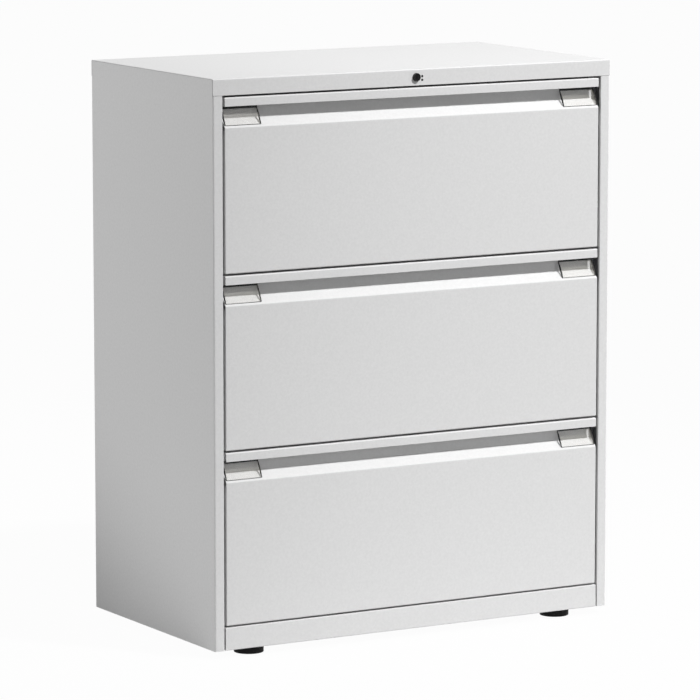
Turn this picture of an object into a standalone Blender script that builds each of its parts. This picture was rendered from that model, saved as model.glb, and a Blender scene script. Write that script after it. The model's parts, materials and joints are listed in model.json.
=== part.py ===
"""Three-drawer lateral filing cabinet in folded sheet steel.

Units are metres. X runs across the front, -Y is the front and +Z is up. The
origin is on the floor, under the middle of the cabinet.
"""

import math

import bmesh
import bpy
from mathutils import Matrix, Vector

for leftover in list(bpy.data.objects):
    bpy.data.objects.remove(leftover, do_unlink=True)

# Outside of the cabinet and layout of its front
CABINET_WIDTH = 0.800
CABINET_DEPTH = 0.450
FOOT_CLEARANCE = 0.014
PLINTH_HEIGHT = 0.040
DRAWER_FRONT_HEIGHT = 0.3018
TOP_RAIL_HEIGHT = 0.0286
STILE_WIDTH = 0.0185
DRAWER_REVEAL = 0.003
SIDE_REVEAL = 0.0035
DRAWER_NAMES = ("lower", "middle", "upper")

# Sheet steel and the gaps between pieces
BODY_SHEET = 0.0010
SEAT_GAP = 0.0003
PLINTH_JOINT = 0.0006
APRON_SEAM = 0.0012
STILE_RETURN = 0.012
REAR_FLANGE = 0.020
FLOOR_DROP = 0.001

# Base rails and levelling feet
BASE_RAIL_WIDTH = 0.044
FOOT_SIDE_INSET = 0.086
FOOT_END_INSET = 0.037
FOOT_PAD_RADIUS = 0.026
FOOT_PAD_CHAMFER = 0.0015
STUD_RADIUS = 0.005
STUD_CLEARANCE = 0.0005
STUD_LENGTH = 0.018

# Slide uprights and telescopic slides
UPRIGHT_SHEET = 0.0015
UPRIGHT_WIDTH = 0.030
UPRIGHT_FRONT_SETBACK = 0.042
UPRIGHT_REAR_SETBACK = 0.045
SLIDE_SPACE = 0.014
SLIDE_HEIGHT = 0.046
SLIDE_SHEET = 0.0012
SLIDE_CLEARANCE = 0.0005
SLIDE_RAIL_LIP = 0.0092
SLIDE_LEVEL = 0.075
SLIDE_REAR_SETBACK = 0.005

# Drawer front with its lip and finger recess
FRONT_SHEET = 0.0010
FRONT_PAN_DEPTH = 0.020
LIP_HEIGHT = 0.016
RECESS_HEIGHT = 0.036
RECESS_DEPTH = 0.019
SLOPE_RISE = 0.016
SLOPE_DEPTH = 0.014
PULL_BEND_RADIUS = 0.004
LIP_BEND_RADIUS = 0.0015
SIDE_FLANGE_RELIEF = 0.006

# Label holders at the ends of the finger recess
HOLDER_WIDTH = 0.070
HOLDER_THICKNESS = 0.0015
HOLDER_END_INSET = 0.0015
HOLDER_TOP_DROP = 0.002
HOLDER_FOOT_RISE = 0.0035
HOLDER_BULGE = 0.0015
HOLDER_SEAT_GAP = 0.0004

# Drawer tray and file bars
TRAY_SHEET = 0.0010
TRAY_FLOOR_LIFT = 0.012
TRAY_HEAD_CLEARANCE = 0.055
TRAY_REAR_CLEARANCE = 0.042
FILE_BAR_INSET = 0.025
FILE_BAR_THICKNESS = 0.002
FILE_BAR_HEIGHT = 0.014
FILE_BAR_HOOK_DROP = 0.010

# Lock in the top rail
LOCK_RADIUS = 0.010
LOCK_HOLE_CLEARANCE = 0.0003
LOCK_COLLAR_LIP = 0.002
LOCK_COLLAR_THICKNESS = 0.002
LOCK_HEADROOM = 0.0011
LOCK_HOUSING_LENGTH = 0.022
PLUG_RADIUS = 0.0075
PLUG_CLEARANCE = 0.0001
PLUG_RECESS = 0.004
KEYWAY_WIDTH = 0.0018
KEYWAY_HEIGHT = 0.0085
KEYWAY_DEPTH = 0.006

# Lock cam, link and bar: a quarter turn moves the link and the bar by the travel
LOCK_TRAVEL = 0.012
CAM_THICKNESS = 0.002
CAM_HALF_WIDTH = 0.004
FINGER_RADIUS = 0.002
FINGER_PLAY = 0.0006
LINK_THICKNESS = 0.002
LINK_WALL = 0.0025
LINK_TAIL = 0.020
LINK_GUIDE_OFFSET = 0.190
LINK_GUIDE_LENGTH = 0.020
PIN_RADIUS = 0.0025
PIN_PLAY = 0.0005
PIN_WALL = 0.0032
PIN_STANDOFF = 0.0035
BAR_THICKNESS = 0.002
BAR_DEPTH = 0.008
BAR_OFFSET = 0.003
BAR_PIN_INSET = 0.0070
BAR_ARM_HALF_HEIGHT = 0.005
BAR_TAIL = 0.060
HOOK_HEIGHT = 0.011
HOOK_LIFT = 0.001
HOOK_PLAY = 0.0006
HOOK_TRAY_CLEARANCE = 0.0015
CATCH_CLEARANCE = 0.003
CATCH_HEIGHT = 0.010
CATCH_DEPTH = 0.014
CATCH_PASS = 0.0045
GUIDE_DROP = 0.045
GUIDE_HEIGHT = 0.010
GUIDE_WALL = 0.003
GUIDE_PLAY = 0.0004

# How finely round shapes are divided
ROUND_SEGMENTS = 32
BEND_STEPS = 4
HOLDER_STEPS = 8
SMOOTH_ANGLE = math.radians(30)
CUT_MARGIN = 0.010

# Places that follow from the sizes above
HALF_WIDTH = CABINET_WIDTH / 2
FRONT_Y = -CABINET_DEPTH / 2
BACK_Y = CABINET_DEPTH / 2
PLINTH_TOP = FOOT_CLEARANCE + PLINTH_HEIGHT
FLOOR_TOP = PLINTH_TOP - FLOOR_DROP
DRAWER_PITCH = DRAWER_FRONT_HEIGHT + DRAWER_REVEAL
RAIL_BOTTOM = PLINTH_TOP + DRAWER_REVEAL + len(DRAWER_NAMES) * DRAWER_PITCH
CABINET_TOP = RAIL_BOTTOM + TOP_RAIL_HEIGHT
LID_UNDERSIDE = CABINET_TOP - BODY_SHEET
SKIN_INSIDE = HALF_WIDTH - BODY_SHEET - SEAT_GAP
OPENING_X = HALF_WIDTH - STILE_WIDTH
BACK_OUTSIDE = BACK_Y - BODY_SHEET - SEAT_GAP
BACK_INSIDE = BACK_OUTSIDE - BODY_SHEET
FOOT_X = HALF_WIDTH - FOOT_SIDE_INSET
FOOT_Y = BACK_Y - FOOT_END_INSET

# Places inside a drawer: y from the front plane, z from the foot of its front
FRONT_HALF_WIDTH = OPENING_X - SIDE_REVEAL
FACE_TOP = DRAWER_FRONT_HEIGHT - LIP_HEIGHT - RECESS_HEIGHT
LIP_BOTTOM = DRAWER_FRONT_HEIGHT - LIP_HEIGHT
CREASE_Z = FACE_TOP + SLOPE_RISE
WALL_TOP = DRAWER_FRONT_HEIGHT - FRONT_SHEET
TRAY_X = OPENING_X - SLIDE_SPACE
TRAY_FRONT = FRONT_PAN_DEPTH + SEAT_GAP
TRAY_REAR = BACK_INSIDE - FRONT_Y - TRAY_REAR_CLEARANCE
TRAY_TOP = DRAWER_FRONT_HEIGHT - TRAY_HEAD_CLEARANCE
SLIDE_REAR = TRAY_REAR - SLIDE_REAR_SETBACK

# Places in the lock: y from the front plane
LOCK_Z = LID_UNDERSIDE - LOCK_HEADROOM - LOCK_COLLAR_LIP - LOCK_RADIUS
CAM_FRONT = LOCK_HOUSING_LENGTH + SEAT_GAP
CAM_REAR = CAM_FRONT + CAM_THICKNESS
FINGER_REACH = LOCK_TRAVEL / math.sqrt(2)
FINGER_START = (-LOCK_TRAVEL / 2, -LOCK_TRAVEL / 2)
LINK_FRONT = CAM_REAR + SEAT_GAP
LINK_REAR = LINK_FRONT + LINK_THICKNESS
LINK_SLOT_RADIUS = FINGER_RADIUS + FINGER_PLAY
LINK_BOTTOM = LOCK_Z - FINGER_REACH - LINK_SLOT_RADIUS - LINK_WALL
LINK_TOP = LOCK_Z - LOCK_TRAVEL / 2 + LINK_SLOT_RADIUS + LINK_WALL
PIN_SLOT_RADIUS = PIN_RADIUS + PIN_PLAY
PIN_LOW = LINK_BOTTOM + PIN_WALL + PIN_SLOT_RADIUS
PIN_HIGH = PIN_LOW + LOCK_TRAVEL
BAR_X = OPENING_X + BAR_OFFSET
PIN_X = OPENING_X - BAR_PIN_INSET
BAR_FRONT = LINK_REAR + SEAT_GAP
BAR_REAR = BAR_FRONT + BAR_DEPTH
CATCH_FRONT = BAR_REAR + HOOK_PLAY
CATCH_LEVEL = SLIDE_LEVEL + SLIDE_HEIGHT / 2 + CATCH_CLEARANCE
HOOK_LEVEL = CATCH_LEVEL + CATCH_HEIGHT + HOOK_LIFT


def drawer_bottom(index):
    """Height of the foot of a drawer's front, counted from the lowest drawer."""
    return PLINTH_TOP + DRAWER_REVEAL + index * DRAWER_PITCH


def finish(name, colour, roughness, metallic):
    """A Principled material for one finish of the cabinet."""
    material = bpy.data.materials.new(name)
    material.use_nodes = True
    shader = material.node_tree.nodes["Principled BSDF"]
    shader.inputs["Base Color"].default_value = (*colour, 1.0)
    shader.inputs["Roughness"].default_value = roughness
    shader.inputs["Metallic"].default_value = metallic
    return material


POWDER_COAT = finish("powder_coat", (0.72, 0.72, 0.72), 0.55, 0.0)
TRAY_COAT = finish("tray_coat", (0.70, 0.70, 0.70), 0.55, 0.0)
ZINC_STEEL = finish("zinc_steel", (0.62, 0.63, 0.65), 0.35, 1.0)
LOCK_NICKEL = finish("lock_nickel", (0.66, 0.65, 0.62), 0.25, 1.0)
GUIDE_NYLON = finish("guide_nylon", (0.80, 0.80, 0.77), 0.50, 0.0)
HOLDER_PLASTIC = finish("holder_plastic", (0.78, 0.77, 0.73), 0.15, 0.0)
FOOT_PLASTIC = finish("foot_plastic", (0.012, 0.012, 0.012), 0.50, 0.0)


def rounded(points, radii):
    """The path with an arc of each given radius at its inner corners."""
    path = [Vector(points[0])]
    for before, corner, after, radius in zip(points, points[1:], points[2:], radii):
        corner = Vector(corner)
        into = (corner - Vector(before)).normalized()
        out = (Vector(after) - corner).normalized()
        turn = into.angle(out)
        if radius == 0:
            path.append(corner)
            continue
        reach = radius * math.tan(turn / 2)
        centre = corner + (out - into).normalized() * (radius / math.cos(turn / 2))
        spoke = corner - into * reach - centre
        way = 1 if into.x * out.y - into.y * out.x > 0 else -1
        for step in range(BEND_STEPS + 1):
            swing = Matrix.Rotation(way * turn * step / BEND_STEPS, 2)
            path.append(centre + swing @ spoke)
    path.append(Vector(points[-1]))
    return path


def sheet_outline(path, thickness):
    """Closed outline of a folded sheet whose outer face is the path, with the metal on its left."""
    path = [Vector(point) for point in path]
    lefts = []
    for start, end in zip(path, path[1:]):
        along = (end - start).normalized()
        lefts.append(Vector((-along.y, along.x)))
    inner = [path[0] + lefts[0] * thickness]
    for corner, before, after in zip(path[1:], lefts, lefts[1:]):
        middle = (before + after).normalized()
        inner.append(corner + middle * (thickness / middle.dot(after)))
    inner.append(path[-1] + lefts[-1] * thickness)
    return path + inner[::-1]


def rectangle(low, high):
    return [(low[0], low[1]), (high[0], low[1]), (high[0], high[1]), (low[0], high[1])]


def capsule(start, end, radius):
    """Outline of a slot or lever with round ends."""
    start = Vector(start)
    end = Vector(end)
    along = (end - start).normalized()
    half_turn = ROUND_SEGMENTS // 2
    outline = []
    for centre, direction in ((end, along), (start, -along)):
        for step in range(half_turn + 1):
            swing = Matrix.Rotation(math.pi * (step / half_turn - 0.5), 2)
            outline.append(centre + swing @ direction * radius)
    return outline


def circle(centre, radius):
    steps = [2 * math.pi * step / ROUND_SEGMENTS for step in range(ROUND_SEGMENTS)]
    return [(centre[0] + radius * math.cos(a), centre[1] + radius * math.sin(a)) for a in steps]


def sided(outline, side):
    """The outline as drawn for the right side (1), or mirrored to the left side (-1)."""
    return [(side * point[0], point[1]) for point in outline]


def placed(axis, along, flat):
    """A point from its distance along an axis and its two other coordinates, in X, Y, Z order."""
    if axis == "X":
        return (along, flat[0], flat[1])
    if axis == "Y":
        return (flat[0], along, flat[1])
    return (flat[0], flat[1], along)


def mesh_from(shape, smooth=False):
    """Closes the working shape into a mesh with its faces pointing out."""
    bmesh.ops.recalc_face_normals(shape, faces=shape.faces)
    mesh = bpy.data.meshes.new("shape")
    shape.to_mesh(mesh)
    shape.free()
    if smooth:
        mesh.shade_smooth()
        mesh.set_sharp_from_angle(angle=SMOOTH_ANGLE)
    return mesh


def prism(outline, axis, start, end):
    """Solid swept from a flat outline along an axis."""
    shape = bmesh.new()
    first = [shape.verts.new(placed(axis, start, point)) for point in outline]
    last = [shape.verts.new(placed(axis, end, point)) for point in outline]
    shape.faces.new(first)
    shape.faces.new(last)
    for index in range(len(outline)):
        after = (index + 1) % len(outline)
        shape.faces.new((first[index], first[after], last[after], last[index]))
    return mesh_from(shape)


def block(low, high):
    return prism(rectangle(low[:2], high[:2]), "Z", low[2], high[2])


def pan(low, high, wall, open_top):
    """Box of sheet with one open side, at its top or its bottom."""
    shape = bmesh.new()
    closed_z, rim_z = (low[2], high[2]) if open_top else (high[2], low[2])
    floor_z = closed_z + (wall if open_top else -wall)
    outer = rectangle(low[:2], high[:2])
    inner = rectangle((low[0] + wall, low[1] + wall), (high[0] - wall, high[1] - wall))
    rings = []
    for outline, level in ((outer, closed_z), (outer, rim_z), (inner, rim_z), (inner, floor_z)):
        rings.append([shape.verts.new((*point, level)) for point in outline])
    shape.faces.new(rings[0])
    shape.faces.new(rings[-1])
    for near, far in zip(rings, rings[1:]):
        for index in range(len(near)):
            after = (index + 1) % len(near)
            shape.faces.new((near[index], near[after], far[after], far[index]))
    return mesh_from(shape)


def turned(profile, axis, ring=False):
    """Solid turned about an axis through the origin, from (radius, distance along) points.

    A ring's profile is closed and stays clear of the axis. Any other profile is
    capped flat at its two ends.
    """
    shape = bmesh.new()
    loops = []
    for radius, along in profile:
        loops.append([shape.verts.new(placed(axis, along, p)) for p in circle((0, 0), radius)])
    pairs = list(zip(loops, loops[1:]))
    if ring:
        pairs.append((loops[-1], loops[0]))
    else:
        shape.faces.new(loops[0])
        shape.faces.new(loops[-1])
    for near, far in pairs:
        for index in range(ROUND_SEGMENTS):
            after = (index + 1) % ROUND_SEGMENTS
            shape.faces.new((near[index], near[after], far[after], far[index]))
    return mesh_from(shape, smooth=True)


def combined(body, tool, operation):
    """The body's mesh after a Boolean with the tool's mesh."""
    pair = []
    for mesh in (body, tool):
        helper = bpy.data.objects.new("helper", mesh)
        bpy.context.scene.collection.objects.link(helper)
        pair.append(helper)
    modifier = pair[0].modifiers.new("combine", "BOOLEAN")
    modifier.operation = operation
    modifier.solver = "EXACT"
    modifier.object = pair[1]
    graph = bpy.context.evaluated_depsgraph_get()
    result = bpy.data.meshes.new_from_object(pair[0].evaluated_get(graph))
    for helper in pair:
        bpy.data.objects.remove(helper, do_unlink=True)
    return result


def hub(name, place):
    """An empty on the path or axis of pieces that move together."""
    empty = bpy.data.objects.new(name, None)
    empty.location = place
    bpy.context.scene.collection.objects.link(empty)
    return empty


def piece(name, mesh, material, place=(0, 0, 0), parent=None):
    """One named piece, from a mesh drawn about its own place."""
    if not mesh.materials:
        mesh.materials.append(material)
    thing = bpy.data.objects.new(name, mesh)
    thing.location = place
    thing.parent = parent
    bpy.context.scene.collection.objects.link(thing)
    return thing


def side_panel(side):
    """Side sheet folded round into the front stile, with a short return, and a rear flange.

    Above the stile it runs on flat up to the lid, between the lid's turned-down edges.
    """
    path = [
        (OPENING_X, FRONT_Y + STILE_RETURN),
        (OPENING_X, FRONT_Y),
        (HALF_WIDTH, FRONT_Y),
        (HALF_WIDTH, BACK_Y),
        (HALF_WIDTH - REAR_FLANGE, BACK_Y),
    ]
    outline = sided(sheet_outline(path, BODY_SHEET), side)
    folded = prism(outline, "Z", FOOT_CLEARANCE, RAIL_BOTTOM - SEAT_GAP)
    edges = sorted((side * HALF_WIDTH, side * (HALF_WIDTH - BODY_SHEET)))
    low = (edges[0], FRONT_Y + BODY_SHEET + APRON_SEAM, RAIL_BOTTOM - CUT_MARGIN)
    high = (edges[1], BACK_Y - BODY_SHEET - APRON_SEAM, LID_UNDERSIDE - SEAT_GAP)
    return combined(folded, block(low, high), "UNION")


def top_panel():
    """Lid turned down at its front and back. Its front edge is the top rail, bored for the lock."""
    path = [
        (BACK_Y, RAIL_BOTTOM),
        (BACK_Y, CABINET_TOP),
        (FRONT_Y, CABINET_TOP),
        (FRONT_Y, RAIL_BOTTOM),
    ]
    lid = prism(sheet_outline(path, BODY_SHEET), "X", -HALF_WIDTH, HALF_WIDTH)
    bore = circle((0, LOCK_Z), LOCK_RADIUS + LOCK_HOLE_CLEARANCE)
    drill = prism(bore, "Y", FRONT_Y - CUT_MARGIN, FRONT_Y + CUT_MARGIN)
    return combined(lid, drill, "DIFFERENCE")


def back_panel():
    """Flat sheet inside the rear flanges, reaching up into the lid."""
    low = (-SKIN_INSIDE, BACK_INSIDE, FOOT_CLEARANCE)
    high = (SKIN_INSIDE, BACK_OUTSIDE, LID_UNDERSIDE - SEAT_GAP)
    return block(low, high)


def bottom_panel():
    """Floor with turned-down edges, between the sides, the plinth and the back."""
    low = (-SKIN_INSIDE, FRONT_Y + STILE_RETURN + SEAT_GAP, FOOT_CLEARANCE)
    high = (SKIN_INSIDE, BACK_INSIDE - SEAT_GAP, FLOOR_TOP)
    return pan(low, high, BODY_SHEET, False)


def front_plinth():
    """Kick panel between the stiles, folded back along its top and bottom."""
    path = [
        (FRONT_Y + STILE_RETURN, PLINTH_TOP),
        (FRONT_Y, PLINTH_TOP),
        (FRONT_Y, FOOT_CLEARANCE),
        (FRONT_Y + STILE_RETURN, FOOT_CLEARANCE),
    ]
    reach = OPENING_X - PLINTH_JOINT
    return prism(sheet_outline(path, BODY_SHEET), "X", -reach, reach)


def base_rail(side):
    """Channel under the floor that carries two feet."""
    rail_top = FLOOR_TOP - BODY_SHEET - SEAT_GAP
    left = FOOT_X - BASE_RAIL_WIDTH / 2
    right = FOOT_X + BASE_RAIL_WIDTH / 2
    path = [(left, rail_top), (left, FOOT_CLEARANCE), (right, FOOT_CLEARANCE), (right, rail_top)]
    wall_gap = BODY_SHEET + SEAT_GAP
    front = FRONT_Y + STILE_RETURN + SEAT_GAP + wall_gap
    rear = BACK_INSIDE - SEAT_GAP - wall_gap
    rail = prism(sided(sheet_outline(path, BODY_SHEET), side), "Y", front, rear)
    for end in (-1, 1):
        bore = circle((side * FOOT_X, end * FOOT_Y), STUD_RADIUS + STUD_CLEARANCE)
        drill = prism(bore, "Z", FOOT_CLEARANCE - CUT_MARGIN, FOOT_CLEARANCE + CUT_MARGIN)
        rail = combined(rail, drill, "DIFFERENCE")
    return rail


def foot():
    """Round glide with its stud, about its own axis with its pad on the floor."""
    pad_top = FOOT_CLEARANCE - SEAT_GAP
    profile = [
        (FOOT_PAD_RADIUS - FOOT_PAD_CHAMFER, 0),
        (FOOT_PAD_RADIUS, FOOT_PAD_CHAMFER),
        (FOOT_PAD_RADIUS, pad_top),
        (STUD_RADIUS, pad_top),
        (STUD_RADIUS, FOOT_CLEARANCE + STUD_LENGTH),
    ]
    return turned(profile, "Z")


def slide_upright(side, front):
    """Channel welded inside a side panel, from the floor to the lid, that carries the slide rails."""
    rear = front + UPRIGHT_WIDTH
    path = [(SKIN_INSIDE, rear), (OPENING_X, rear), (OPENING_X, front), (SKIN_INSIDE, front)]
    outline = sided(sheet_outline(path, UPRIGHT_SHEET), side)
    return prism(outline, "Z", FLOOR_TOP + SEAT_GAP, LID_UNDERSIDE - SEAT_GAP)


def slide_member(side, web_x, lip_x, half_height, front=TRAY_FRONT):
    """One channel of a telescopic slide, in a drawer's own place."""
    low = SLIDE_LEVEL - half_height
    high = SLIDE_LEVEL + half_height
    path = [(lip_x, low), (web_x, low), (web_x, high), (lip_x, high)]
    if lip_x > web_x:
        path.reverse()
    return prism(sided(sheet_outline(path, SLIDE_SHEET), side), "Y", front, SLIDE_REAR)


def lock_catch(web_x, flange_top):
    """Tab turned out over the slide from the front of its inner member, for the lock bar's hook."""
    foot_z = flange_top - SLIDE_SHEET / 2
    catch_top = CATCH_LEVEL + CATCH_HEIGHT
    catch_end = OPENING_X - CATCH_PASS
    outline = [
        (web_x, foot_z),
        (web_x + SLIDE_SHEET, foot_z),
        (web_x + SLIDE_SHEET, CATCH_LEVEL),
        (catch_end, CATCH_LEVEL),
        (catch_end, catch_top),
        (web_x, catch_top),
    ]
    return prism(outline, "Y", CATCH_FRONT, CATCH_FRONT + CATCH_DEPTH)


def slide_members(side):
    """Fixed rail, middle member and inner member, each nested in the one before.

    The right inner member carries the drawer's lock catch.
    """
    step = SLIDE_SHEET + SLIDE_CLEARANCE
    half_height = SLIDE_HEIGHT / 2
    rail_web = OPENING_X - SEAT_GAP
    inner_web = TRAY_X + SEAT_GAP
    rail = slide_member(side, rail_web, rail_web - SLIDE_RAIL_LIP, half_height)
    middle_lip = inner_web + step
    middle = slide_member(side, rail_web - step, middle_lip, half_height - step)
    inner_half = half_height - 2 * step
    inner = slide_member(side, inner_web, rail_web - 2 * step, inner_half, CATCH_FRONT)
    if side > 0:
        inner = combined(inner, lock_catch(inner_web, SLIDE_LEVEL + inner_half), "UNION")
    return rail, middle, inner


def drawer_front():
    """Front sheet folded into a lip over a finger recess along its top, with flanges at its sides."""
    path = [
        (FRONT_PAN_DEPTH, 0),
        (0, 0),
        (0, FACE_TOP),
        (SLOPE_DEPTH, CREASE_Z),
        (RECESS_DEPTH, WALL_TOP),
        (FRONT_SHEET, WALL_TOP),
        (FRONT_SHEET, LIP_BOTTOM),
    ]
    radii = (0, PULL_BEND_RADIUS, PULL_BEND_RADIUS, LIP_BEND_RADIUS, LIP_BEND_RADIUS)
    folds = rounded(path, radii)[::-1]
    front = prism(sheet_outline(folds, FRONT_SHEET), "X", -FRONT_HALF_WIDTH, FRONT_HALF_WIDTH)
    for side in (-1, 1):
        edges = sorted((side * FRONT_HALF_WIDTH, side * (FRONT_HALF_WIDTH - FRONT_SHEET)))
        low = (edges[0], FRONT_SHEET / 2, FRONT_SHEET / 2)
        high = (edges[1], FRONT_PAN_DEPTH, FACE_TOP - SIDE_FLANGE_RELIEF)
        front = combined(front, block(low, high), "UNION")
    return front


def label_holder(side):
    """Clear bowed strip across one end of the finger recess, under the lip."""
    top_z = LIP_BOTTOM - HOLDER_TOP_DROP
    foot_z = FACE_TOP + HOLDER_FOOT_RISE
    wall_lean = (RECESS_DEPTH - SLOPE_DEPTH) / (WALL_TOP - CREASE_Z)
    top_y = SLOPE_DEPTH + wall_lean * (top_z - CREASE_Z) - HOLDER_SEAT_GAP
    foot_y = SLOPE_DEPTH * HOLDER_FOOT_RISE / SLOPE_RISE - HOLDER_SEAT_GAP
    top = Vector((top_y, top_z))
    foot_point = Vector((foot_y, foot_z))
    along = (foot_point - top).normalized()
    outward = Vector((along.y, -along.x))
    back = []
    for step in range(HOLDER_STEPS + 1):
        share = step / HOLDER_STEPS
        bow = HOLDER_BULGE * 4 * share * (1 - share)
        back.append(top.lerp(foot_point, share) + outward * bow)
    face = [point + outward * HOLDER_THICKNESS for point in back]
    end = FRONT_HALF_WIDTH - HOLDER_END_INSET
    return prism(back + face[::-1], "X", *sorted((side * end, side * (end - HOLDER_WIDTH))))


def tray():
    """Open drawer tray between the slides."""
    low = (-TRAY_X, TRAY_FRONT, TRAY_FLOOR_LIFT)
    high = (TRAY_X, TRAY_REAR, TRAY_TOP)
    return pan(low, high, TRAY_SHEET, True)


def file_bar(front):
    """Flat bar across the tray for hanging files, hooked over both side walls."""
    inside = TRAY_X + SEAT_GAP
    outside = inside + FILE_BAR_THICKNESS
    foot_z = TRAY_TOP - FILE_BAR_HOOK_DROP
    seat_z = TRAY_TOP + SEAT_GAP
    bar_top = seat_z + FILE_BAR_HEIGHT
    half = [(outside, bar_top), (outside, foot_z), (inside, foot_z), (inside, seat_z)]
    outline = half + sided(half, -1)[::-1]
    return prism(outline, "Y", front, front + FILE_BAR_THICKNESS)


def lock_housing():
    """Sleeve through the top rail with a collar behind it."""
    bore = PLUG_RADIUS + PLUG_CLEARANCE
    collar = LOCK_RADIUS + LOCK_COLLAR_LIP
    collar_front = BODY_SHEET + SEAT_GAP
    collar_rear = collar_front + LOCK_COLLAR_THICKNESS
    profile = [
        (bore, 0),
        (LOCK_RADIUS, 0),
        (LOCK_RADIUS, collar_front),
        (collar, collar_front),
        (collar, collar_rear),
        (LOCK_RADIUS, collar_rear),
        (LOCK_RADIUS, LOCK_HOUSING_LENGTH),
        (bore, LOCK_HOUSING_LENGTH),
    ]
    return turned(profile, "Y", ring=True)


def lock_plug():
    """Turning plug with a keyway in its face."""
    plug = turned([(PLUG_RADIUS, PLUG_RECESS), (PLUG_RADIUS, LOCK_HOUSING_LENGTH)], "Y")
    keyway = rectangle((-KEYWAY_WIDTH / 2, -KEYWAY_HEIGHT / 2), (KEYWAY_WIDTH / 2, KEYWAY_HEIGHT / 2))
    cutter = prism(keyway, "Y", PLUG_RECESS - CUT_MARGIN, PLUG_RECESS + KEYWAY_DEPTH)
    return combined(plug, cutter, "DIFFERENCE")


def lock_cam():
    """Lever on the back of the plug, with a finger that reaches into the link."""
    lever = prism(capsule((0, 0), FINGER_START, CAM_HALF_WIDTH), "Y", CAM_FRONT, CAM_REAR)
    finger = circle(FINGER_START, FINGER_RADIUS)
    finger_front = (CAM_FRONT + CAM_REAR) / 2
    return combined(lever, prism(finger, "Y", finger_front, LINK_REAR), "UNION")


def lock_link():
    """Flat bar under the lid: the cam's finger moves it, and its slanted slot drives the lock bar."""
    plate_top = PIN_HIGH + PIN_SLOT_RADIUS + PIN_WALL
    plate_left = PIN_X - LOCK_TRAVEL - PIN_SLOT_RADIUS - PIN_WALL
    plate_right = PIN_X + PIN_SLOT_RADIUS + PIN_WALL
    tail = FINGER_START[0] - LINK_TAIL
    outline = [
        (tail, LINK_BOTTOM),
        (plate_right, LINK_BOTTOM),
        (plate_right, plate_top),
        (plate_left, plate_top),
        (plate_left, LINK_TOP),
        (tail, LINK_TOP),
    ]
    link = prism(outline, "Y", FRONT_Y + LINK_FRONT, FRONT_Y + LINK_REAR)
    finger_low = (FINGER_START[0], LOCK_Z - FINGER_REACH)
    finger_high = (FINGER_START[0], LOCK_Z + FINGER_START[1])
    finger_slot = capsule(finger_low, finger_high, LINK_SLOT_RADIUS)
    pin_slot = capsule((PIN_X - LOCK_TRAVEL, PIN_LOW), (PIN_X, PIN_HIGH), PIN_SLOT_RADIUS)
    for slot in (finger_slot, pin_slot):
        cutter = prism(slot, "Y", FRONT_Y + LINK_FRONT - CUT_MARGIN, FRONT_Y + LINK_REAR + CUT_MARGIN)
        link = combined(link, cutter, "DIFFERENCE")
    return link


def lock_bar():
    """Upright bar with a hook over each drawer's catch and a pin in the link's slanted slot."""
    outside = BAR_X + BAR_THICKNESS
    arm_end = PIN_X - PIN_RADIUS - PIN_WALL
    hook_end = TRAY_X + HOOK_TRAY_CLEARANCE
    outline = [
        (arm_end, PIN_HIGH - BAR_ARM_HALF_HEIGHT),
        (arm_end, PIN_HIGH + BAR_ARM_HALF_HEIGHT),
        (outside, PIN_HIGH + BAR_ARM_HALF_HEIGHT),
        (outside, drawer_bottom(0) + HOOK_LEVEL - BAR_TAIL),
        (BAR_X, drawer_bottom(0) + HOOK_LEVEL - BAR_TAIL),
    ]
    for index in range(len(DRAWER_NAMES)):
        low = drawer_bottom(index) + HOOK_LEVEL
        high = low + HOOK_HEIGHT
        outline += [(BAR_X, low), (hook_end, low), (hook_end, high), (BAR_X, high)]
    outline.append((BAR_X, PIN_HIGH - BAR_ARM_HALF_HEIGHT))
    bar = prism(outline, "Y", FRONT_Y + BAR_FRONT, FRONT_Y + BAR_REAR)
    pin = circle((PIN_X, PIN_HIGH), PIN_RADIUS)
    pin_rear = FRONT_Y + (BAR_FRONT + BAR_REAR) / 2
    return combined(bar, prism(pin, "Y", FRONT_Y + BAR_FRONT - PIN_STANDOFF, pin_rear), "UNION")


def lock_bar_guide(index):
    """Forked block on the side panel that the lock bar runs in, under a drawer's hook."""
    notch = BAR_X + BAR_THICKNESS + GUIDE_PLAY
    front = FRONT_Y + BAR_FRONT - GUIDE_PLAY
    rear = FRONT_Y + BAR_REAR + GUIDE_PLAY
    outline = [
        (SKIN_INSIDE, front - GUIDE_WALL),
        (SKIN_INSIDE, rear + GUIDE_WALL),
        (BAR_X, rear + GUIDE_WALL),
        (BAR_X, rear),
        (notch, rear),
        (notch, front),
        (BAR_X, front),
        (BAR_X, front - GUIDE_WALL),
    ]
    low = drawer_bottom(index) + HOOK_LEVEL - GUIDE_DROP
    return prism(outline, "Z", low, low + GUIDE_HEIGHT)


def lock_link_guide():
    """Saddle hung under the lid that the lock link slides through."""
    front = FRONT_Y + LINK_FRONT - GUIDE_PLAY
    rear = FRONT_Y + LINK_REAR + GUIDE_PLAY
    low = LINK_BOTTOM - GUIDE_PLAY
    high = LINK_TOP + GUIDE_PLAY
    seat = LID_UNDERSIDE - SEAT_GAP
    outline = [
        (rear + GUIDE_WALL, seat),
        (rear + GUIDE_WALL, low - GUIDE_WALL),
        (front - GUIDE_WALL, low - GUIDE_WALL),
        (front - GUIDE_WALL, LINK_BOTTOM + GUIDE_WALL),
        (front, LINK_BOTTOM + GUIDE_WALL),
        (front, low),
        (rear, low),
        (rear, high),
        (front, high),
        (front, seat),
    ]
    return prism(outline, "X", LINK_GUIDE_OFFSET, LINK_GUIDE_OFFSET + LINK_GUIDE_LENGTH)


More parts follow.
